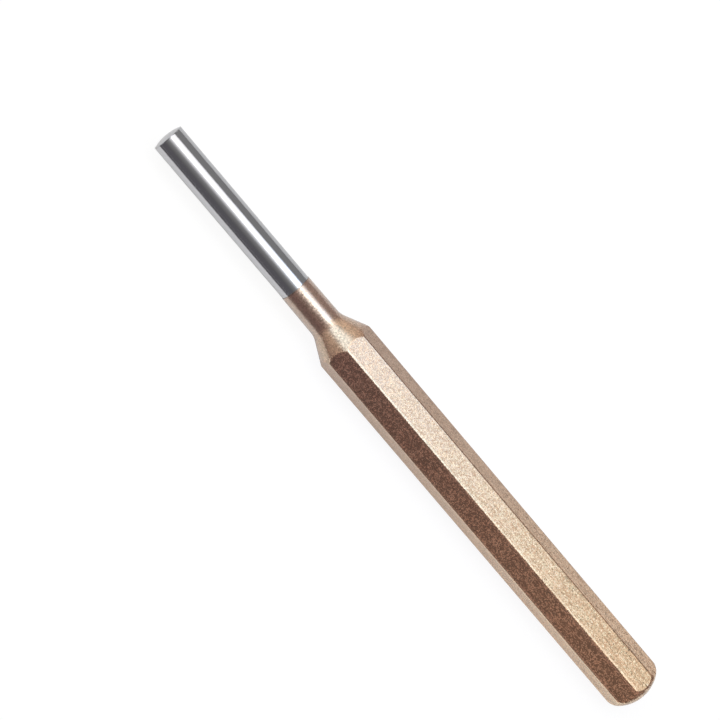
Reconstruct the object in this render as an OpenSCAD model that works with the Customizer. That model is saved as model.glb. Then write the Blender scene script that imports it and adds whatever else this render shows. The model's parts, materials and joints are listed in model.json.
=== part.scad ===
// Pin punch: one octagonal steel bar, turned to a long round pin with a crowned tip and a domed
// head, with bronze lacquer on everything except the ground pin.
// The punch lies on one flat, tip towards -X, with the origin under the middle of its length.

/* [Bar] */
// Distance across the flats of the octagonal bar, in mm
stock_af = 12; // [10:0.5:14.5]
// Radius on the long edges of the bar
edge_r = 0.45; // [0.1:0.05:1]
// Length of the steel, from the crown of the tip to the top of the head
overall_l = 158; // [125:1:250]

/* [Pin] */
// Diameter of the ground pin
pin_d = 6.95; // [4:0.05:8.5]
// Length of bare steel, from the crown of the tip to the edge of the lacquer
bare_l = 41.4; // [20:0.2:60]
// Height of the crown on the tip
crown_h = 0.6; // [0.2:0.1:1.2]

/* [Shoulder] */
// Length of the lacquered neck, from the edge of the lacquer to the foot of the cone
neck_l = 10.4; // [6:0.1:20]
// Growth of the neck's radius from the edge of the lacquer to the foot of the cone
neck_flare = 0.1; // [0.02:0.02:0.6]
// Radius of the fillet between the neck and the cone
fillet_r = 4.5; // [1:0.5:8]
// Half angle of the cone that leads up to the octagon
cone_angle = 26; // [18:0.1:45]

/* [Head] */
// Height that the dome would have above the corners of the bar without its rounded rim
head_h = 2.96; // [2:0.02:4.5]
// Radius of the rounded rim between the dome and the corners of the bar
head_edge_r = 3.1; // [1:0.1:4]

/* [Lacquer] */
// Thickness of the lacquer
coat_t = 0.08; // [0.04:0.01:0.2]

/* [Hidden] */
$fn = 96;
sides = 8;
edge_steps = 4;
half_side = 180 / sides;
pin_r = pin_d / 2;
// The crown is a cap of a sphere across the whole end of the pin
crown_r = (pin_r * pin_r + crown_h * crown_h) / (2 * crown_h);
neck_start = [pin_r, bare_l];
cone_foot = neck_start + [neck_flare, neck_l];
neck_angle = atan(neck_flare / neck_l);
corner_reach = (stock_af / 2 - edge_r) / cos(half_side) + edge_r;
// The dome is a part of a sphere that would meet the corners of the bar at its foot
head_r = (corner_reach * corner_reach + head_h * head_h) / (2 * head_h);
head_centre = overall_l - head_r;
// The rounded rim touches the dome from inside, and lies this far outside the corners where it starts
edge_gap = 0.05;
head_edge_x = corner_reach + edge_gap - head_edge_r;
head_edge_lean = asin(head_edge_x / (head_r - head_edge_r));
head_edge_y = (head_r - head_edge_r) * cos(head_edge_lean);
// Past the corners of the lacquered bar, so that the octagon alone trims the turned section
clear_r = corner_reach + 2 * coat_t + edge_r;
axis_z = stock_af / 2 + coat_t;
finished_l = overall_l + coat_t;
// The circles of the fillet and of the rounded rim are this much larger, so that they cross what they blend
hair = 0.0002;

// Direction of a turned surface at an angle to the axis, and the direction it faces
function along(angle) = [sin(angle), cos(angle)];
function outward(angle) = [cos(angle), -sin(angle)];

// Cross-section of the bar with rounded corners, grown outwards all round
module bar_section(grow) {
    centre_r = (stock_af / 2 - edge_r) / cos(half_side);
    corner_r = edge_r + grow;
    polygon([
        for (side = [0 : sides - 1])
            for (step = [0 : edge_steps])
                let (corner = (2 * side + 1) * half_side)
                let (facing = corner + half_side * (2 * step / edge_steps - 1))
                centre_r * [cos(corner), sin(corner)] + corner_r * [cos(facing), sin(facing)]
    ]);
}

// Half section of the turned shape, radius across and length upwards, grown outwards
module turned_section(grow) {
    bend = outward(neck_angle) + outward(cone_angle);
    foot = cone_foot + grow * bend / (1 + outward(neck_angle) * outward(cone_angle));
    start = neck_start + grow * outward(neck_angle);
    cone_end = foot + (clear_r - foot[0]) / sin(cone_angle) * along(cone_angle);
    blend_r = fillet_r - grow;
    blend_run = blend_r * tan((cone_angle - neck_angle) / 2);
    blend_start = foot - blend_run * along(neck_angle);
    blend_end = foot + blend_run * along(cone_angle);
    polygon([[0, 0], [pin_r + grow, 0], start, foot, cone_end, [clear_r, overall_l], [0, overall_l]]);
    difference() {
        polygon([blend_start, blend_end, [0, blend_end[1]], [0, blend_start[1]]]);
        translate(blend_start + blend_r * outward(neck_angle)) circle(blend_r + hair);
    }
}

// Half disc on the axis, which trims the end of the pin to its crown
module half_disc(centre, radius) {
    intersection() {
        translate([0, centre]) circle(radius);
        square(2 * radius);
    }
}

// Half section of the head about the centre of its dome: bar, rounded rim and dome, grown outwards
module head_section(grow) {
    far = 2 * head_r;
    square([corner_reach + edge_gap + grow, head_edge_y]);
    intersection() {
        translate([head_edge_x, head_edge_y]) circle(head_edge_r + grow + hair);
        square(far);
    }
    intersection() {
        circle(head_r + grow);
        polygon([[0, 0], [0, far], far * along(head_edge_lean)]);
    }
}

// The whole punch, standing on its tip, grown outwards by a coat
module punch_form(grow) {
    intersection() {
        linear_extrude(overall_l + head_r) bar_section(grow);
        rotate_extrude() {
            intersection() {
                turned_section(grow);
                square([clear_r, head_centre]);
                union() {
                    half_disc(crown_r, crown_r);
                    translate([0, crown_r]) square([clear_r, overall_l]);
                }
            }
            translate([0, head_centre]) head_section(grow);
        }
    }
}

// Lays the standing punch on one of its lacquered flats
module lie() {
    translate([-finished_l / 2, 0, axis_z]) rotate([0, 90, 0]) children();
}

// Steel bar with its pin, neck, shoulder and head
module punch_blank() {
    color("silver") lie() punch_form(0);
}

// Lacquer skin over the neck, the shoulder, the flats and the head
module lacquer_coat() {
    color("peru") lie() difference() {
        punch_form(coat_t);
        punch_form(0);
        cylinder(h = bare_l, r = clear_r);
    }
}

punch_blank();
lacquer_coat();
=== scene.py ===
"""Pin punch: a ground steel blank in bronze lacquer, modelled around its packed construction model."""

import json
import math

import bmesh
import bpy
from bpy.props import FloatProperty, FloatVectorProperty, IntProperty, PointerProperty
from bpy.types import Operator, Panel, PropertyGroup
from mathutils import Matrix, Vector


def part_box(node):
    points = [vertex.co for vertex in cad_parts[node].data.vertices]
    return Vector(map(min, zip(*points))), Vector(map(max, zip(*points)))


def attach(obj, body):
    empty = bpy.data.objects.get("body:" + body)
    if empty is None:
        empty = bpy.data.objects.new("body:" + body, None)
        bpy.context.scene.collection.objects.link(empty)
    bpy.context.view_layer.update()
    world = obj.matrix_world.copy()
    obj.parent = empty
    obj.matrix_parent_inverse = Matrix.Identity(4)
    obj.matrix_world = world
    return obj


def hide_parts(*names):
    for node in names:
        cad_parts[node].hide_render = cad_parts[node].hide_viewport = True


bl_info = {
    "name": "Pin Punch",
    "version": (1, 0, 0),
    "blender": (4, 5, 0),
    "location": "3D View > Sidebar > Pin Punch",
    "description": "Models an octagonal pin punch, its bronze lacquer and a small photo studio",
    "category": "Object",
}

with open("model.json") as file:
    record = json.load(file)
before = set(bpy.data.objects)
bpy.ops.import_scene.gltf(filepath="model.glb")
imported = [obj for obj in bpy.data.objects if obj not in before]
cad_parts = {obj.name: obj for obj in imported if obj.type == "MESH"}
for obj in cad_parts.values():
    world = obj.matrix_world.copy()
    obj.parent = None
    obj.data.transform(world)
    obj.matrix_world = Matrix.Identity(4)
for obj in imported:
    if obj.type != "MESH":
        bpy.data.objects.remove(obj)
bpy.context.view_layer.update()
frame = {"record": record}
BLANK_LOW, BLANK_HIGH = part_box("punch_blank")
COAT_LOW, COAT_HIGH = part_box("lacquer_coat")
AXIS_Z = (COAT_LOW.z + COAT_HIGH.z) / 2
PIN = next(mount for mount in frame["record"]["mounts"] if mount["name"] == "drive_pin")
MM_PER_M = 1000
PIN_RADIUS = PIN["dims"]["r_mm"] / MM_PER_M
PIN_RIM_X = PIN["pos_m"][0] - PIN["dims"]["length_mm"] / 2 / MM_PER_M

SIDES = 8
HALF_SIDE = math.pi / SIDES
QUARTER_TURN = math.pi / 2
X_AXIS = Vector((1, 0, 0))
# The turned form stands this far clear of the bar's corners, so that the cuts alone shape them
CLEARANCE = 0.00005
# Keeps rounding errors from lifting the lacquer out of the construction model's box
HAIR = 1e-7
# Points that lie this near each other are merged
MERGE_GAP = 1e-7
# A point that lies this near a cut lies on it
CUT_GAP = 1e-8
# A face whose normal leans less than this along the punch is a flat
FLAT_LEAN = 1e-4
# The lacquer's lip is rounded over this share of its thickness
LIP_SHARE = 0.7
# Steps in each rounded stretch
CROWN_STEPS = 10
RIM_STEPS = 6
LIP_STEPS = 4
FILLET_STEPS = 16
HEAD_RIM_STEPS = 24
DOME_STEPS = 24
SOFTENING_STEPS = 6

# About how many rings and patches of steel, and lines, specks and clouds of lacquer, there are in a metre
RING_SCALE = (9000, 250, 250)
PATCH_SCALE = 160
LINE_SCALE = (300, 5500, 5500)
SPECK_SCALE = 4200
CLOUD_SCALE = 500
# Depth of the rings, and how bright the steel is where it is dullest
RING_DEPTH = 0.00001
DULL_STEEL = 0.92
# Where the lacquer turns paler, and its specks are drawn out, along the punch
PALER = (-0.06, 0.09)
DRAWN_OUT = (-0.02, 0.06)
# How much of that paleness the cone has besides
CONE_PALER = 0.4
# Where one finish gives way to the next, from the cone's foot, the front of the flats and the axis
CONE_BLEND = (-0.00176, 0.00174)
FLATS_BLEND = (-0.00123, 0.00077)
SIDE_BLEND = (-0.001, 0.001)
# Length of the lacquer's lip, which is painted darker: painted shade
LIP_LENGTH = 0.0003
# Where the long edges start and end across a flat, which goes from 0 at its middle to a corner
CORNER = 0.5
RIDGE_START = (0.405, 0.43)
NEAR_EDGE_END = (0.46, 0.475)
FAR_EDGE_START = (0.45, 0.47)
# Amounts of the lacquer at the neck and at the head
FLAKE_COVER = (0.73, 0.63)
LINE_SHARE = (0.15, 0.5)
BAR_LEAN = (0.08, 0.13)
# How strongly the painted glints on the shaded flat stand out, and how much is taken off around them
GLINT = (0.8, 1.7)
GLINT_LOSS = (0.17, 0.27)
GLEAM = (0.3, 0.68)
# Share of paler flakes that paint a highlight on the near long edges
EDGE_HIGHLIGHT_TINT = (0.65, 0.85)
# Amounts before the bar and on it
LEAF_ROUGHNESS = (0.3, 0.23)
CLEAR_TOP = (0.8, 0)
# Amounts on upright faces and on level ones
LEVEL_GLEAM = (0.6, 1)
# Single amounts
FLAKE_LEAN = 0.09
RIDGE_LEAN = 0.3
CLOUDINESS = 0.12
EVEN_SHINE = 0.62
# Painted light and shade: lighter on faces turned to the camera's side, darker on level faces
NEAR_FACE_PAINTED_LIGHT = 0.07
LEVEL_FACE_PAINTED_SHADE = 0.05
# Painted highlight on the near long edges
PAINTED_EDGE_HIGHLIGHT = 0.2
# Painted shade along the far long edges
FAR_EDGE_PAINTED_SHADE = 0.2
# Painted shade along the lacquer's lip
LIP_PAINTED_SHADE = 0.6

BLACK = (0, 0, 0)
WHITE = (1, 1, 1)
MID_GREY = (0.5, 0.5, 0.5)

SENSOR_WIDTH = 36
CLIP_START = 0.01
# Corners of the stage's sheets, seen from above, and their heights
FLOOR_REACH = 3
SOFTBOX_LOW = (-0.28, -0.8)
SOFTBOX_HIGH = (0.6, 0.39)
SOFTBOX_HEIGHT = 0.6
CARD_REACH = 0.6
CARD_SEAM_Y = -0.028
REAR_CARD_X = 0.099
REAR_CARD_Y = 0.5
CARD_HEIGHT = 0.0005
# Paper of the floor, and its tints in the metal under the pin and under the bar
PAPER = (0.79, 0.765, 0.74)
PIN_PAPER = (1, 0.975, 0.955)
BAR_PAPER = (1, 1, 1.12)
# How white the camera sees the floor, and how far its shadow is lifted
WHITENESS = 0.85
SHADOW_LIFT = 0.4
# How much lighter the floor is in the metal: on the camera's side, on the far side and towards the head
NEAR_LIFT = 0.22
FAR_LIFT = 0.03
HEAD_LIFT = 0.2
# Glow across the softbox, from the camera's side to the far side, and its tints
SOFTBOX_GLOW = (
    (0, 0.044), (0.264, 0.064), (0.437, 0.092), (0.553, 0.233), (0.643, 0.46),
    (0.69, 1), (0.773, 1), (0.83, 0.5), (1, 0.48),
)
CLOTH = (1, 0.995, 1)
FAR_CLOTH = (0.77, 1.07, 1.5)
MIDDLE_CLOTH = (0.9, 1.12, 1.27)
# Its share of strength far beyond the head, and what it has besides where the neck mirrors it
REAR_STRENGTH = 0.4
NECK_STRENGTH = 1.5
# Glow of the room over the tip's end: its direction, its fall away from there, and its tints
GLOW_FROM = (-0.64, 0.0, 0.768)
ROOM_GLOW = ((0.28, 0.24), (0.4, 0.29), (0.6, 0.32), (0.8, 0.33), (0.91, 0.5), (0.97, 1))
NEAR_GLOW = (1.65, 1.46, 1.32)
FAR_GLOW = (2.7, 2.4, 2.1)
GLOW_HEART = (1.9, 2.25, 2.5)


def place(name, description, default, **limits):
    """A position along the punch in metres that a user may change."""
    return FloatProperty(
        name=name, description=description, default=default, unit="LENGTH", precision=6, **limits
    )


def length(name, description, default):
    """A size in metres that a user may change."""
    return place(name, description, default, min=0)


def angle(name, description, degrees):
    """An angle that a user may change, given here in degrees."""
    radians = math.radians(degrees)
    return FloatProperty(name=name, description=description, default=radians, unit="ROTATION")


def count(name, description, default, low, high):
    """A number of steps that a user may change."""
    return IntProperty(name=name, description=description, default=default, min=low, max=high)


def colour(name, description, default):
    """A linear colour that a user may change."""
    return FloatVectorProperty(
        name=name, description=description, default=default, size=3, min=0, max=1, subtype="COLOR"
    )


class PunchShape(PropertyGroup):
    """Sizes of the steel and its lacquer"""

    tip_x: place("Tip", "Where the crown of the tip lies along the punch", BLANK_LOW.x)
    head_x: place("Head", "Where the top of the steel head lies along the punch", BLANK_HIGH.x - HAIR)
    lacquer_x: place("Lacquer edge", "Where the lacquer ends at the bare pin", COAT_LOW.x)
    axis_z: place("Axis height", "Height of the punch's axis", AXIS_Z)
    across_flats: length("Across flats", "Distance across the flats of the bar", BLANK_HIGH.z - BLANK_LOW.z)
    coat: length("Lacquer", "Thickness of the lacquer", COAT_HIGH.z - BLANK_HIGH.z - HAIR)
    edge_radius: length("Edge radius", "Rounding of the bar's long edges", 0.00045)
    pin_radius: length("Pin radius", "Radius of the ground pin", PIN_RADIUS)
    crown: length("Crown", "Height of the crown on the tip", PIN_RIM_X - BLANK_LOW.x)
    rim: length("Rim radius", "Rounding of the edge round the tip", 0.00025)
    neck: length("Neck", "Length of the lacquered neck", 0.0104)
    flare: length("Flare", "Growth of the neck's radius along the neck", 0.0001)
    fillet: length("Fillet", "Radius between the neck and the cone", 0.0045)
    cone: angle("Cone", "Half angle of the cone that leads up to the bar", 26)
    dome: length("Dome", "Height that the head's dome would have above the bar's corners", 0.00296)
    head_rim: length("Head rim", "Radius between the dome and the bar's corners", 0.0031)
    softening: length("Softening", "Width of the softened edges between flats and cone", 0.00018)
    turn_steps: count("Turn steps", "Steps in one turn", 320, 64, 640)
    edge_steps: count("Edge steps", "Steps round a long edge, from one flat to the next", 6, 2, 12)


class PunchFinish(PropertyGroup):
    """Colours of the steel and its lacquer"""

    steel: colour("Steel", "Ground tool steel", (0.565, 0.558, 0.572))
    front_leaf: colour("Front flakes", "Metal flakes of the lacquer at the neck", (0.925, 0.735, 0.575))
    rear_leaf: colour("Rear flakes", "Metal flakes of the lacquer at the head", (0.98, 0.81, 0.515))
    # Painted highlight: these paler flakes light up the long edges where they would catch the softbox,
    # rather than showing thinner lacquer
    highlight_leaf: colour("Edge flakes", "Thin lacquer on the long edges", (1.0, 0.9, 0.67))
    front_dye: colour("Front dye", "Brown between the lacquer's flakes at the neck", (0.42, 0.08, 0.05))
    rear_dye: colour("Rear dye", "Brown between the lacquer's flakes at the head", (1.0, 0.39, 0.21))


class PunchStage(PropertyGroup):
    """Camera, floor and light"""

    lens: FloatProperty(
        name="Lens",
        description="Focal length in mm on a 36 mm sensor",
        default=135.48,
        min=20,
        unit="CAMERA",
    )
    aim: FloatVectorProperty(
        name="Aim",
        description="Point that the camera looks at",
        default=(-0.01705, 0.00053, AXIS_Z),
        unit="LENGTH",
    )
    distance: length("Distance", "From the aim point to the camera", 0.56667)
    azimuth: angle("Azimuth", "Camera's turn about the vertical", -30.253)
    elevation: angle("Elevation", "Camera's height above the horizon", 67.931)
    roll: angle("Roll", "Camera's turn about its own axis", 78.048)
    room: colour("Room", "Dim room that the metal mirrors on the camera's side", (0.152, 0.147, 0.160))
    wall: colour("Wall", "Dim wall that the metal mirrors on the far side", (0.305, 0.305, 0.305))
    softbox: FloatProperty(name="Softbox", description="Strength of the softbox", default=3.6, min=0)


class PinPunch(PropertyGroup):
    """Everything that can be changed on the punch and its stage"""

    shape: PointerProperty(type=PunchShape)
    finish: PointerProperty(type=PunchFinish)
    stage: PointerProperty(type=PunchStage)


class Wire:
    """A node output. Arithmetic on it adds Math nodes, and add() puts any other node into its tree."""

    # Sockets of a Mix node that mixes colours: the factor and both colours, and the result
    MIX_INPUTS = (0, 6, 7)
    MIX_RESULT = 2

    def __init__(self, tree, socket=None):
        self.tree = tree
        self.socket = socket

    def add(self, kind, settings=None, inputs=None, output=0):
        """Adds a node: its settings first, then the values or wires of its inputs, by name or number."""
        node = self.tree.nodes.new(kind)
        for name, value in (settings or {}).items():
            if name == "stops":
                self.set_stops(node.color_ramp, value)
            else:
                setattr(node, name, value)
        for name, value in (inputs or {}).items():
            if isinstance(value, Wire):
                self.tree.links.new(value.socket, node.inputs[name])
            else:
                node.inputs[name].default_value = value
        return Wire(self.tree, node.outputs[output] if node.outputs else None)

    @staticmethod
    def set_stops(ramp, stops):
        """Gives a colour ramp its stops, each a position and a grey."""
        while len(ramp.elements) < len(stops):
            ramp.elements.new(1)
        for element, (position, grey) in zip(ramp.elements, stops):
            element.position = position
            element.color = (grey, grey, grey, 1)

    def spot(self, kind="Object"):
        """The point that is shaded or, as Generated in a world, the direction that is looked in."""
        return self.add("ShaderNodeTexCoord", output=kind)

    def part(self, name):
        """X, Y or Z of a point or a direction."""
        return self.add("ShaderNodeSeparateXYZ", inputs={"Vector": self}, output=name)

    def math(self, operation, *values):
        """Maths on numbers."""
        return self.add("ShaderNodeMath", {"operation": operation}, dict(enumerate(values)))

    def vector(self, operation, *values):
        """Maths on points, directions and colours."""
        return self.add("ShaderNodeVectorMath", {"operation": operation}, dict(enumerate(values)))

    def scaled(self, factor):
        """A direction or a colour times a number."""
        return self.add("ShaderNodeVectorMath", {"operation": "SCALE"}, {0: self, "Scale": factor})

    def mix(self, factor, first, second, blend="MIX"):
        """Mixes two colours, or blends them in another of the node's ways."""
        colours = [c if isinstance(c, Wire) else (*c, 1) for c in (first, second)]
        inputs = dict(zip(self.MIX_INPUTS, (factor, *colours)))
        settings = {"data_type": "RGBA", "blend_type": blend}
        return self.add("ShaderNodeMix", settings, inputs, self.MIX_RESULT)

    def smooth(self, low, high):
        """Zero below low, one above high, and a smooth step between them."""
        inputs = {"Value": self, "From Min": low, "From Max": high}
        return self.add("ShaderNodeMapRange", {"interpolation_type": "SMOOTHSTEP"}, inputs)

    def band(self, rise, fall):
        """One between two smooth steps, each given by where it starts and ends, and zero outside them."""
        return self.smooth(*rise) * (1 - self.smooth(*fall))

    def between(self, start, end):
        """Goes from start to end as this goes from zero to one."""
        return start + self * (end - start)

    def __add__(self, other):
        return self.math("ADD", self, other)

    def __radd__(self, other):
        return self.math("ADD", other, self)

    def __sub__(self, other):
        return self.math("SUBTRACT", self, other)

    def __rsub__(self, other):
        return self.math("SUBTRACT", other, self)

    def __mul__(self, other):
        return self.math("MULTIPLY", self, other)

    def __rmul__(self, other):
        return self.math("MULTIPLY", other, self)


def bare_tree(owner):
    """Empties the node tree of a material or a world, and gives a wire to build it with."""
    owner.use_nodes = True
    owner.node_tree.nodes.clear()
    return Wire(owner.node_tree)


def new_material(name):
    """A material with an empty tree, and a wire to build it with."""
    material = bpy.data.materials.new(name)
    return material, bare_tree(material)


def ground_steel(finish):
    """Bright steel with fine rings from the grinding wheel."""
    material, tree = new_material("ground_steel")
    spot = tree.spot()
    rings = tree.add("ShaderNodeMapping", inputs={"Vector": spot, "Scale": RING_SCALE})
    marks = tree.add("ShaderNodeTexNoise", inputs={
        "Vector": rings,
        "Scale": 1,
        "Detail": 4,
        "Roughness": 0.7,
    })
    patches = tree.add("ShaderNodeTexNoise", inputs={"Vector": spot, "Scale": PATCH_SCALE, "Detail": 2})
    dull = tuple(DULL_STEEL * c for c in finish.steel)
    bump = tree.add("ShaderNodeBump", inputs={"Strength": 0.06, "Distance": RING_DEPTH, "Height": marks})
    shader = tree.add("ShaderNodeBsdfPrincipled", inputs={
        "Base Color": tree.mix(marks * 0.6 + patches * 0.4, dull, finish.steel),
        "Metallic": 1,
        "Roughness": marks.between(0.1, 0.2),
        "Normal": bump,
    })
    tree.add("ShaderNodeOutputMaterial", inputs={"Surface": shader})
    return material


class Zones:
    """Where a point of the lacquer lies: each wire is one inside its zone and fades out around it."""

    def __init__(self, tree, shape):
        spot = tree.spot()
        x, y, z = (spot.part(name) for name in "XYZ")
        foot = shape.lacquer_x + shape.neck
        climb = shape.across_flats / 2 - shape.pin_radius - shape.flare
        flats = foot + climb / math.tan(shape.cone)
        turned = tree.math("ARCTAN2", y, z - shape.axis_z)
        across = tree.math("PINGPONG", turned * (SIDES / math.tau), CORNER)
        far_side = y.smooth(*SIDE_BLEND)
        self.lip = 1 - (x - shape.lacquer_x).smooth(0, LIP_LENGTH)
        self.bar = (x - flats).smooth(*FLATS_BLEND)
        cone = (x - foot).smooth(*CONE_BLEND) * (1 - self.bar)
        self.rear = x.smooth(*PALER) + cone * CONE_PALER
        self.drawn_out = x.smooth(*DRAWN_OUT)
        self.ridges = across.smooth(*RIDGE_START) * self.bar
        # The near long edges get a painted highlight and the far long edges painted shade
        self.near_edges = self.ridges * (1 - across.smooth(*NEAR_EDGE_END)) * (1 - far_side)
        self.far_edges = across.smooth(*FAR_EDGE_START) * far_side * self.bar * self.rear


def flake_lean(tree, zones):
    """How each flake leans on the surface: fine specks, drawn out into lines towards the head."""
    spot = tree.spot()
    drawn = tree.add("ShaderNodeMapping", inputs={"Vector": spot, "Scale": LINE_SCALE})
    lines = tree.add("ShaderNodeTexVoronoi", inputs={"Vector": drawn, "Scale": 1}, output="Color")
    fine = {"Vector": spot, "Scale": SPECK_SCALE}
    specks = tree.add("ShaderNodeTexVoronoi", inputs=fine, output="Color")
    even_lines = tree.vector("SUBTRACT", lines, MID_GREY)
    both = tree.vector("MULTIPLY_ADD", even_lines, zones.drawn_out.between(*LINE_SHARE), specks)
    return tree.vector("SUBTRACT", both, MID_GREY)


def flake_grain_and_painted_light(tree, zones, facing, lean):
    """How bright the flakes are: random specks, painted as glints on the shaded flat and an uneven gleam
    elsewhere, with painted light and shade by facing, a painted highlight on the near edges and painted
    shade along the far edges and the lip.
    """
    near = 0 - facing.part("Y")
    level = 1 - tree.math("ABSOLUTE", near)
    shaded = near.band((0.2, 0.6), (0.75, 0.95)) * zones.bar
    flakes = lean.part("Y")
    # Painted glints: on the shaded flat the random specks are painted as bright glints on a darkened ground
    glints = flakes.smooth(0, 0.6) * zones.rear.between(*GLINT) - zones.rear.between(*GLINT_LOSS)
    gleam = flakes * zones.rear.between(*GLEAM) * level.between(*LEVEL_GLEAM)
    # Painted light and shade: on the bar, faces turned to the camera's side are lighter, faces turned away
    # darker, and level faces darker towards the neck
    even = EVEN_SHINE + zones.bar * (near * NEAR_FACE_PAINTED_LIGHT - level * (1 - zones.rear) * LEVEL_FACE_PAINTED_SHADE)
    # Painted highlight: the near long edges are painted lighter towards the head
    painted_edge_light = zones.near_edges * zones.rear * PAINTED_EDGE_HIGHLIGHT
    # Painted shade: the lacquer's lip, and the far long edges towards the head, are painted darker
    kept = 1 - zones.lip * LIP_PAINTED_SHADE - zones.far_edges * FAR_EDGE_PAINTED_SHADE
    return (even + painted_edge_light + gleam + (glints - gleam) * shaded) * kept


def bronze_lacquer(finish, shape):
    """Bronze lacquer: flakes of metal in a brown dye, with a painted highlight on the bar's near edges and
    other painted light and shade, glossy on the neck.
    """
    material, tree = new_material("bronze_lacquer")
    zones = Zones(tree, shape)
    facing = tree.add("ShaderNodeNewGeometry", output="Normal")
    lean = flake_lean(tree, zones)
    # The flakes' and the dye's colour is scaled by random specks and by painted light, highlight and shade
    painted_light_and_grain = flake_grain_and_painted_light(tree, zones, facing, lean)
    slope = FLAKE_LEAN + zones.bar * zones.rear.between(*BAR_LEAN)
    tilt = lean.scaled(slope * zones.ridges.between(1, RIDGE_LEAN))
    bright = tree.mix(zones.rear, finish.front_leaf, finish.rear_leaf)
    # Painted highlight: paler flakes on the near long edges
    painted_edge_light = tree.mix(zones.near_edges * zones.rear.between(*EDGE_HIGHLIGHT_TINT), bright, finish.highlight_leaf)
    brown = tree.mix(zones.rear, finish.front_dye, finish.rear_dye)
    clear_top = {
        "Coat Weight": zones.bar.between(*CLEAR_TOP),
        "Coat Roughness": 0.1,
        "Coat IOR": 1.9,
        "Normal": tree.vector("NORMALIZE", tree.vector("ADD", facing, tilt)),
    }
    leaf = tree.add("ShaderNodeBsdfPrincipled", inputs={
        "Base Color": tree.mix(painted_light_and_grain, BLACK, painted_edge_light),
        "Metallic": 1,
        "Roughness": zones.bar.between(*LEAF_ROUGHNESS),
        **clear_top,
    })
    dye = tree.add("ShaderNodeBsdfPrincipled", inputs={
        "Base Color": tree.mix(painted_light_and_grain, BLACK, brown),
        "Roughness": 0.4,
        "Specular IOR Level": 0.2,
        **clear_top,
    })
    clouds = tree.add("ShaderNodeTexNoise", inputs={
        "Vector": tree.spot(),
        "Scale": CLOUD_SCALE,
        "Detail": 2,
    })
    cover = zones.rear.between(*FLAKE_COVER) + (clouds - 0.5) * CLOUDINESS
    both = tree.add("ShaderNodeMixShader", inputs={0: cover, 1: dye, 2: leaf})
    tree.add("ShaderNodeOutputMaterial", inputs={"Surface": both})
    return material


class Pen:
    """Draws the half outline of a turned shape: X along the axis, Z away from it."""

    def __init__(self, bm, x, radius):
        self.bm = bm
        self.end = bmesh.ops.create_vert(bm, co=(x, 0, radius))["vert"][0]

    def line(self, x, radius):
        """Goes straight on to a point."""
        self.end = bmesh.ops.extrude_vert_indiv(self.bm, verts=[self.end])["verts"][0]
        self.end.co = (x, 0, radius)

    def arc(self, x, radius, turn, steps):
        """Goes on round a centre. A positive turn leads from the tip over the outside to the head."""
        swung = bmesh.ops.spin(
            self.bm, geom=[self.end], cent=(x, 0, radius), axis=(0, 1, 0), angle=turn, steps=steps
        )
        self.end = next(item for item in swung["geom_last"] if isinstance(item, bmesh.types.BMVert))


def cap_radius(reach, height):
    """Radius of the sphere whose cap has a reach and a height."""
    return (reach ** 2 + height ** 2) / (2 * height)


def corner_centre(shape):
    """Distance from the axis to the line that a long edge is rounded about."""
    return (shape.across_flats / 2 - shape.edge_radius) / math.cos(HALF_SIDE)


def draw_tip(bm, shape):
    """Starts the outline with the crowned tip, its rounded rim and the pin's wall."""
    crown = cap_radius(shape.pin_radius, shape.crown)
    reach = shape.pin_radius - shape.rim
    crown_turn = math.asin(reach / (crown - shape.rim))
    rim_x = shape.tip_x + crown - (crown - shape.rim) * math.cos(crown_turn)
    pen = Pen(bm, shape.tip_x, 0)
    pen.arc(shape.tip_x + crown, 0, crown_turn, CROWN_STEPS)
    pen.arc(rim_x, reach, QUARTER_TURN - crown_turn, RIM_STEPS)
    pen.line(shape.lacquer_x, shape.pin_radius)
    return pen


def draw_lip(bm, shape, grow):
    """Starts the outline with the rounded lip of the lacquer."""
    lip = LIP_SHARE * grow
    pen = Pen(bm, shape.lacquer_x, shape.pin_radius + grow - lip)
    pen.arc(shape.lacquer_x + lip, shape.pin_radius + grow - lip, QUARTER_TURN, LIP_STEPS)
    return pen


def draw_shoulder(pen, shape, grow):
    """Goes on along the neck, round the fillet and up the cone until it is clear of the bar's corners."""
    clear = corner_centre(shape) + shape.edge_radius + CLEARANCE + grow
    rise = math.atan2(shape.flare, shape.neck)
    half_bend = (shape.cone - rise) / 2
    facing = Matrix.Rotation(rise + half_bend, 2) @ Vector((0, 1))
    foot = Vector((shape.lacquer_x + shape.neck, shape.pin_radius + shape.flare))
    foot += facing * grow / math.cos(half_bend)
    radius = shape.fillet - grow
    run = radius * math.tan(half_bend)
    start = foot - run * Vector((math.cos(rise), math.sin(rise)))
    centre = start + radius * Vector((-math.sin(rise), math.cos(rise)))
    pen.line(start.x, start.y)
    pen.arc(centre.x, centre.y, -2 * half_bend, FILLET_STEPS)
    pen.line(foot.x + (clear - foot.y) / math.tan(shape.cone), clear)


def draw_head(pen, shape, grow):
    """Goes on along the bar, clear of its corners, round the head's rim and over the dome to the axis."""
    corner = corner_centre(shape) + shape.edge_radius
    dome = cap_radius(corner, shape.dome)
    dome_x = shape.head_x - dome
    rim_z = corner + CLEARANCE - shape.head_rim
    dome_turn = math.asin(rim_z / (dome - shape.head_rim))
    rim_x = dome_x + (dome - shape.head_rim) * math.cos(dome_turn)
    pen.line(rim_x, corner + CLEARANCE + grow)
    pen.arc(rim_x, rim_z, QUARTER_TURN - dome_turn, HEAD_RIM_STEPS)
    pen.arc(dome_x, 0, dome_turn, DOME_STEPS)
    pen.end.co.z = 0


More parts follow.
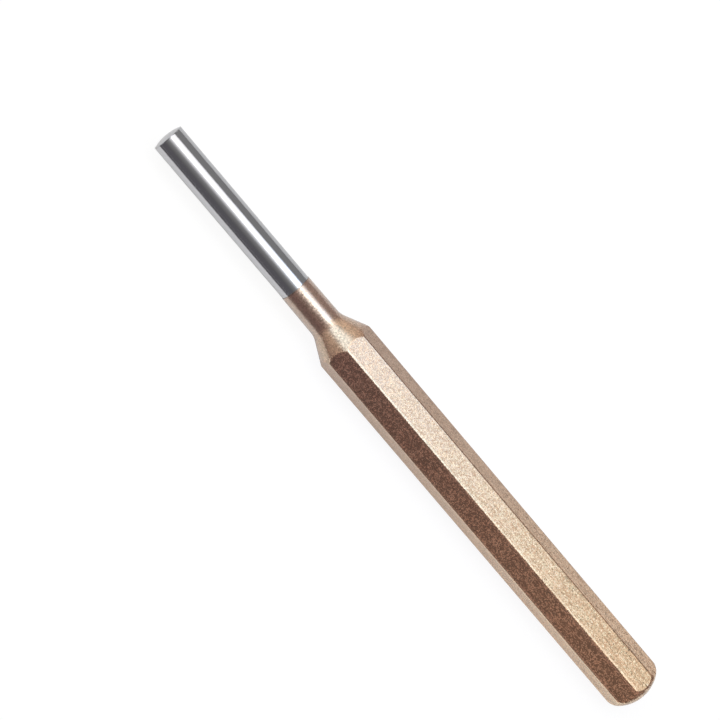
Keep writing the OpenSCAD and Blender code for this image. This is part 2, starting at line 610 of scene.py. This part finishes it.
def turn(bm, shape):
    """Turns the outline about the axis and closes its seam and its poles."""
    bmesh.ops.spin(
        bm, geom=bm.verts[:] + bm.edges[:], cent=(0, 0, 0), axis=X_AXIS, angle=math.tau,
        steps=shape.turn_steps, use_merge=True,
    )
    bmesh.ops.remove_doubles(bm, verts=bm.verts, dist=MERGE_GAP)
    bmesh.ops.recalc_face_normals(bm, faces=bm.faces)


def cut(bm, shape, grow, side, off_corner):
    """Cuts along the bar, square to a direction that is given by a corner and an angle off it."""
    facing = Matrix.Rotation(HALF_SIDE * (2 * side + 1) + off_corner, 3, "X") @ Vector((0, 0, 1))
    reach = corner_centre(shape) * math.cos(off_corner) + shape.edge_radius + grow
    made = bmesh.ops.bisect_plane(
        bm, geom=bm.verts[:] + bm.edges[:] + bm.faces[:], dist=CUT_GAP,
        plane_co=facing * reach, plane_no=facing, clear_outer=True,
    )
    rim = [item for item in made["geom_cut"] if isinstance(item, bmesh.types.BMEdge)]
    bmesh.ops.edgeloop_fill(bm, edges=rim)


def flat_end(edge):
    """True for an edge between the cone and a flat."""
    level = [abs(face.normal.x) < FLAT_LEAN for face in edge.link_faces]
    return edge.verts[0].co.x < 0 and edge.is_manifold and any(level) and not all(level)


def soften(bm, edges, width):
    """Rounds edges over a width."""
    bmesh.ops.bevel(
        bm, geom=edges, offset=width, offset_type="OFFSET", segments=SOFTENING_STEPS, profile=0.5,
        affect="EDGES", clamp_overlap=False, material=-1,
    )


def cut_bar(bm, shape, grow):
    """Cuts the eight flats, softens their front ends, and rounds the long edges with more cuts."""
    for side in range(SIDES):
        cut(bm, shape, grow, side, -HALF_SIDE)
    soften(bm, [edge for edge in bm.edges if flat_end(edge)], shape.softening)
    for side in range(SIDES):
        for step in range(1, shape.edge_steps):
            cut(bm, shape, grow, side, HALF_SIDE * (2 * step / shape.edge_steps - 1))


def shape_form(bm, shape, pen, grow):
    """Makes the whole form from an outline that has its front end."""
    draw_shoulder(pen, shape, grow)
    draw_head(pen, shape, grow)
    turn(bm, shape)
    cut_bar(bm, shape, grow)


def open_rims(bm):
    """Edges round the open front ends of the forms."""
    return [edge for edge in bm.edges if edge.is_boundary]


def make_object(bm, name, material):
    """Puts a finished mesh into the scene as an object."""
    mesh = bpy.data.meshes.new(name)
    bm.to_mesh(mesh)
    bm.free()
    mesh.materials.append(material)
    made = bpy.data.objects.new(name, mesh)
    bpy.context.scene.collection.objects.link(made)
    return made


def finish_piece(bm, shape, name, material):
    """Lifts the mesh to the axis and makes it a smooth piece of the punch."""
    bmesh.ops.translate(bm, verts=bm.verts, vec=(0, 0, shape.axis_z))
    for face in bm.faces:
        face.smooth = True
    piece = make_object(bm, name, material)
    normals = piece.modifiers.new("Even shading", "WEIGHTED_NORMAL")
    normals.weight = 100
    normals.keep_sharp = True
    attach(piece, "root")
    return piece


class PUNCH_OT_blank(Operator):
    """Model the steel blank with its crowned pin, neck, cone, flats and domed head"""

    bl_idname = "punch.blank"
    bl_label = "Steel Blank"

    def execute(self, context):
        punch = context.scene.pin_punch
        bm = bmesh.new()
        shape_form(bm, punch.shape, draw_tip(bm, punch.shape), 0)
        piece = finish_piece(bm, punch.shape, "steel_blank", ground_steel(punch.finish))
        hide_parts("punch_blank")
        return {"FINISHED"}


class PUNCH_OT_lacquer(Operator):
    """Model the lacquer as a thin closed skin over everything but the pin"""

    bl_idname = "punch.lacquer"
    bl_label = "Bronze Lacquer"

    def execute(self, context):
        punch = context.scene.pin_punch
        shape = punch.shape
        inside = bmesh.new()
        shape_form(inside, shape, Pen(inside, shape.lacquer_x, shape.pin_radius), 0)
        bmesh.ops.reverse_faces(inside, faces=inside.faces)
        inner = bpy.data.meshes.new("lacquer_inside")
        inside.to_mesh(inner)
        inside.free()
        bm = bmesh.new()
        shape_form(bm, shape, draw_lip(bm, shape, shape.coat), shape.coat)
        bm.from_mesh(inner)
        bpy.data.meshes.remove(inner)
        bmesh.ops.bridge_loops(bm, edges=open_rims(bm))
        piece = finish_piece(bm, shape, "bronze_lacquer_skin", bronze_lacquer(punch.finish, shape))
        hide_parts("lacquer_coat")
        return {"FINISHED"}


def ray(tree, kind):
    """One for rays of a kind: straight from the camera, or from a mirror."""
    return tree.add("ShaderNodeLightPath", output=f"Is {kind} Ray")


def studio_floor():
    """Pale floor that keeps a faint shadow and is a little lighter in the metal."""
    material, tree = new_material("studio_floor")
    spot = tree.spot()
    x, y = (spot.part(name) for name in "XY")
    lift = y.smooth(-0.02, 0.02).between(NEAR_LIFT, FAR_LIFT) + x.smooth(-0.02, 0.08) * HEAD_LIFT
    tint = tree.mix(x.smooth(-0.036, -0.022), PIN_PAPER, BAR_PAPER)
    paper = tree.add("ShaderNodeBsdfDiffuse", inputs={"Color": (*PAPER, 1)})
    lifted = tree.add("ShaderNodeEmission", inputs={
        "Color": tint.scaled(ray(tree, "Glossy") * lift + ray(tree, "Camera") * SHADOW_LIFT),
        "Strength": 1,
    })
    plain = tree.add("ShaderNodeAddShader", inputs={0: paper, 1: lifted})
    white = tree.add("ShaderNodeEmission", inputs={"Color": (*WHITE, 1), "Strength": 1})
    seen_white = ray(tree, "Camera") * WHITENESS
    both = tree.add("ShaderNodeMixShader", inputs={0: seen_white, 1: plain, 2: white})
    tree.add("ShaderNodeOutputMaterial", inputs={"Surface": both})
    return material


def softbox_cloth(strength):
    """Lit cloth of the softbox: brightest over the punch, fading slowly towards the camera's side."""
    material, tree = new_material("softbox_cloth")
    spot = tree.spot()
    x, y = (spot.part(name) for name in "XY")
    across = tree.add("ShaderNodeMapRange", inputs={
        "Value": y,
        "From Min": SOFTBOX_LOW[1],
        "From Max": SOFTBOX_HIGH[1],
    })
    glow = tree.add("ShaderNodeValToRGB", {"stops": SOFTBOX_GLOW}, {"Fac": across})
    # Patches that the camera sees mirrored in the front of the bar and in the neck
    in_bar = x.band((0.062, 0.074), (0.1, 0.26))
    in_neck = x.band((0.05, 0.062), (0.076, 0.09)) * across.band((0.56, 0.62), (0.88, 0.94))
    middle = across.band((0.45, 0.58), (0.773, 0.84)) * in_bar
    far_side = across.smooth(0.78, 0.84) * in_bar
    tint = tree.mix(middle, tree.mix(far_side, CLOTH, FAR_CLOTH), MIDDLE_CLOTH)
    level = x.smooth(0.02, 0.5).between(1, REAR_STRENGTH) + in_neck * NECK_STRENGTH
    shader = tree.add("ShaderNodeEmission", inputs={
        "Color": tree.mix(glow, BLACK, tint).scaled(level * strength),
        "Strength": 1,
    })
    tree.add("ShaderNodeOutputMaterial", inputs={"Surface": shader})
    return material


def dark_cloth(room):
    """Dark cloth that only the metal mirrors."""
    material, tree = new_material("dark_cloth")
    shader = tree.add("ShaderNodeEmission", inputs={"Color": (*room, 1), "Strength": 1})
    tree.add("ShaderNodeOutputMaterial", inputs={"Surface": shader})
    return material


def stage_sheet(name, low, high, height, material):
    """A flat sheet of the stage between two corners."""
    half_x, half_y = ((end - start) / 2 for start, end in zip(low, high))
    middle_x, middle_y = ((end + start) / 2 for start, end in zip(low, high))
    bm = bmesh.new()
    bmesh.ops.create_grid(bm, x_segments=1, y_segments=1, size=1)
    bmesh.ops.scale(bm, verts=bm.verts, vec=(half_x, half_y, 1))
    bmesh.ops.translate(bm, verts=bm.verts, vec=(middle_x, middle_y, height))
    made = make_object(bm, name, material)
    return made


def dark_card(name, low, high, room):
    """A sheet of dark cloth on the floor that the camera and the light pass through."""
    card = stage_sheet(name, low, high, CARD_HEIGHT, dark_cloth(room))
    card.visible_camera = False
    card.visible_diffuse = False
    card.visible_shadow = False
    card.visible_transmission = False


def make_room(stage):
    """World: white to the camera, and to the metal a dim room with a broad glow over the tip's end."""
    world = bpy.data.worlds.new("studio_room")
    tree = bare_tree(world)
    look = tree.spot("Generated")
    far_side = look.part("Y").smooth(-0.2, 0.8)
    front = 1 - look.part("X").smooth(-0.4, 0)
    towards = tree.add(
        "ShaderNodeVectorMath", {"operation": "DOT_PRODUCT"}, {0: look, 1: GLOW_FROM}, "Value"
    )
    fall = tree.add("ShaderNodeValToRGB", {"stops": ROOM_GLOW}, {"Fac": towards})
    tint = tree.mix(towards.smooth(0.8, 0.97), tree.mix(far_side, NEAR_GLOW, FAR_GLOW), GLOW_HEART)
    glow = tree.mix(1, fall, tint, "MULTIPLY")
    dim = tree.mix(far_side, stage.room, stage.wall)
    lit = tree.mix(towards.smooth(0.25, 0.42) * front, dim, glow)
    shader = tree.add("ShaderNodeBackground", inputs={
        "Color": tree.mix(ray(tree, "Camera"), lit, WHITE),
        "Strength": 1,
    })
    tree.add("ShaderNodeOutputWorld", inputs={"Surface": shader})
    bpy.context.scene.world = world


def make_camera(stage):
    """Camera at the photograph's viewing angle."""
    data = bpy.data.cameras.new("camera")
    data.lens = stage.lens
    data.sensor_width = SENSOR_WIDTH
    data.clip_start = CLIP_START
    camera = bpy.data.objects.new("camera", data)
    turned = (
        Matrix.Rotation(stage.azimuth, 3, "Z")
        @ Matrix.Rotation(QUARTER_TURN - stage.elevation, 3, "X")
        @ Matrix.Rotation(stage.roll, 3, "Z")
    )
    camera.location = Vector(stage.aim) + turned @ Vector((0, 0, stage.distance))
    camera.rotation_euler = turned.to_euler()
    bpy.context.scene.collection.objects.link(camera)
    bpy.context.scene.camera = camera


class PUNCH_OT_stage(Operator):
    """Set the camera, the floor, the room and the softbox"""

    bl_idname = "punch.stage"
    bl_label = "Studio Stage"

    def execute(self, context):
        stage = context.scene.pin_punch.stage
        context.scene.view_settings.view_transform = "Standard"
        make_camera(stage)
        make_room(stage)
        stage_sheet("floor", (-FLOOR_REACH, -FLOOR_REACH), (FLOOR_REACH, FLOOR_REACH), 0, studio_floor())
        cloth = softbox_cloth(stage.softbox)
        softbox = stage_sheet("softbox", SOFTBOX_LOW, SOFTBOX_HIGH, SOFTBOX_HEIGHT, cloth)
        softbox.visible_camera = False
        dark_card("near_card", (-CARD_REACH, -CARD_REACH), (CARD_REACH, CARD_SEAM_Y), stage.room)
        dark_card("rear_card", (REAR_CARD_X, CARD_SEAM_Y), (CARD_REACH, REAR_CARD_Y), stage.room)
        return {"FINISHED"}


class PUNCH_PT_panel(Panel):
    """Sizes, colours and operators of the pin punch"""

    bl_idname = "PUNCH_PT_panel"
    bl_label = "Pin Punch"
    bl_space_type = "VIEW_3D"
    bl_region_type = "UI"
    bl_category = "Pin Punch"

    def draw(self, context):
        settings = context.scene.pin_punch
        for group in (settings.shape, settings.finish, settings.stage):
            box = self.layout.box()
            for name in group.__annotations__:
                box.prop(group, name)
        for operator in OPERATORS:
            self.layout.operator(operator.bl_idname)


OPERATORS = (PUNCH_OT_stage, PUNCH_OT_blank, PUNCH_OT_lacquer)
CLASSES = (PunchShape, PunchFinish, PunchStage, PinPunch, *OPERATORS, PUNCH_PT_panel)


def register():
    """Makes the classes and the punch's settings known to Blender."""
    for cls in CLASSES:
        bpy.utils.register_class(cls)
    bpy.types.Scene.pin_punch = PointerProperty(type=PinPunch)


def unregister():
    """Takes back what register did."""
    del bpy.types.Scene.pin_punch
    for cls in reversed(CLASSES):
        bpy.utils.unregister_class(cls)


def main():
    """Makes the stage and both pieces."""
    register()
    bpy.ops.punch.stage()
    bpy.ops.punch.blank()
    bpy.ops.punch.lacquer()


if __name__ == "__main__":
    main()
